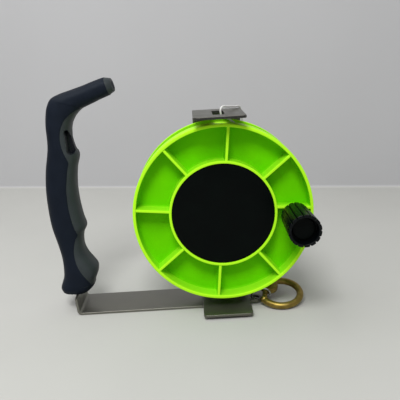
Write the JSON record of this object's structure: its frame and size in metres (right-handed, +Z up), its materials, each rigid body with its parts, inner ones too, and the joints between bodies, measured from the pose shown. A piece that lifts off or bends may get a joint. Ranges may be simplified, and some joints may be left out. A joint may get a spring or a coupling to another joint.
{
  "type": "dive_reel",
  "caption": "Dive reel: a green ribbed spool of white line in a bent steel frame with a moulded side handle, a crank knob, a ratchet lock at the back and a brass bolt snap",
  "frame": {"origin": "on the surface that the reel stands on, under the middle of its bounding box", "axes": "X from the handle to the spool, Y from the crank side to the back plate along the spool's axle, Z up"},
  "size_m": [0.2108, 0.1258, 0.1898],
  "materials": {
    "lime_plastic": "moulded gloss lime green",
    "black_plastic": "semi-gloss black",
    "black_rubber": "matt soft grip",
    "grey_plastic": "fine textured dark grey",
    "frame_steel": "brushed and lightly darkened",
    "bright_steel": "turned, bright",
    "brass": "cast and polished, slightly dulled",
    "white_plastic": "turned natural acetal",
    "white_line": "braided nylon"
  },
  "bodies": {
    "frame": {"frame_bracket": "frame_steel", "handle_bar": "frame_steel", "frame_screw_1": "bright_steel", "frame_screw_2": "bright_steel", "frame_nut_1": "bright_steel", "frame_nut_2": "bright_steel", "axle_bolt": "bright_steel", "axle_rear_washer": "bright_steel", "axle_spacer": "white_plastic", "axle_front_washer": "bright_steel", "axle_nut": "bright_steel", "selector_bush": "brass", "handle_core": "grey_plastic", "handle_grip": "black_rubber", "tang_pin_lower": "bright_steel", "tang_pin_upper": "bright_steel", "line_lead": "white_line"},
    "spool": {"spool_front_flange": "lime_plastic", "spool_rear_flange": "lime_plastic", "hub_label_disc": "black_plastic", "front_bush": "white_plastic", "rear_bush": "white_plastic", "ratchet_ring": "bright_steel", "ratchet_screw_1": "bright_steel", "ratchet_screw_2": "bright_steel", "ratchet_screw_3": "bright_steel", "spool_screw_1": "bright_steel", "spool_screw_2": "bright_steel", "spool_screw_3": "bright_steel", "spool_screw_4": "bright_steel", "line_core": "white_line", "line_winding": "white_line", "crank_pin": "bright_steel", "crank_washer": "bright_steel", "crank_nut": "bright_steel"},
    "crank_knob": {"knob_sleeve": "black_plastic", "knob_cap": "black_plastic"},
    "selector": {"selector_shaft": "bright_steel", "selector_lever": "bright_steel", "selector_nut": "bright_steel", "selector_knob": "black_plastic", "selector_rivet": "bright_steel"},
    "lock_pawl": {"pawl": "bright_steel", "pawl_spring": "bright_steel"},
    "link": {"link_ring": "bright_steel"},
    "snap": {"snap_hook_body": "brass"},
    "plunger": {"snap_plunger": "brass", "snap_thumb_stud": "brass", "plunger_spring": "bright_steel"},
    "swivel_eye": {"snap_swivel_eye": "brass", "line_end_knot": "white_line"}
  },
  "joints": [
    {"name": "spool_spin", "type": "hinge", "parent": "frame", "child": "spool", "pos_m": [0.03543, 0.00314, 0.0822], "axis": [0, 1, 0], "continuous": true},
    {"name": "knob_spin", "type": "hinge", "parent": "spool", "child": "crank_knob", "pos_m": [0.09087, -0.04186, 0.07803], "axis": [0, 1, 0], "continuous": true},
    {"name": "selector_turn", "type": "hinge", "parent": "frame", "child": "selector", "pos_m": [0.03543, 0.02414, 0.1292], "axis": [0, 1, 0], "range_deg": [0, 13]},
    {"name": "pawl_swing", "type": "hinge", "parent": "frame", "child": "lock_pawl", "pos_m": [0.03543, 0.01714, 0.1292], "axis": [0, 1, 0], "range_deg": [0, 6.5]},
    {"name": "link_swing", "type": "hinge", "parent": "frame", "child": "link", "pos_m": [0.06408, -0.00406, 0.0032], "axis": [0, -1, 0], "range_deg": [0, 5]},
    {"name": "snap_swing", "type": "hinge", "parent": "frame", "child": "snap", "pos_m": [0.06773, -0.00676, 0.0057], "axis": [0, 0, 1], "range_deg": [-6, 8]},
    {"name": "plunger_slide", "type": "slide", "parent": "snap", "child": "plunger", "axis": [0.2079, 0.9403, 0.2696], "range_m": [0, 0.006], "stiffness_N_per_m": 150, "springref_m": -0.004},
    {"name": "snap_eye_swivel", "type": "hinge", "parent": "snap", "child": "swivel_eye", "pos_m": [0.06603, -0.0133, 0.00575], "axis": [0.2079, 0.9403, 0.2696], "continuous": true}
  ],
  "couplings": [
    {"joint": "pawl_swing", "follows": "selector_turn", "ratio": 0.5}
  ]
}
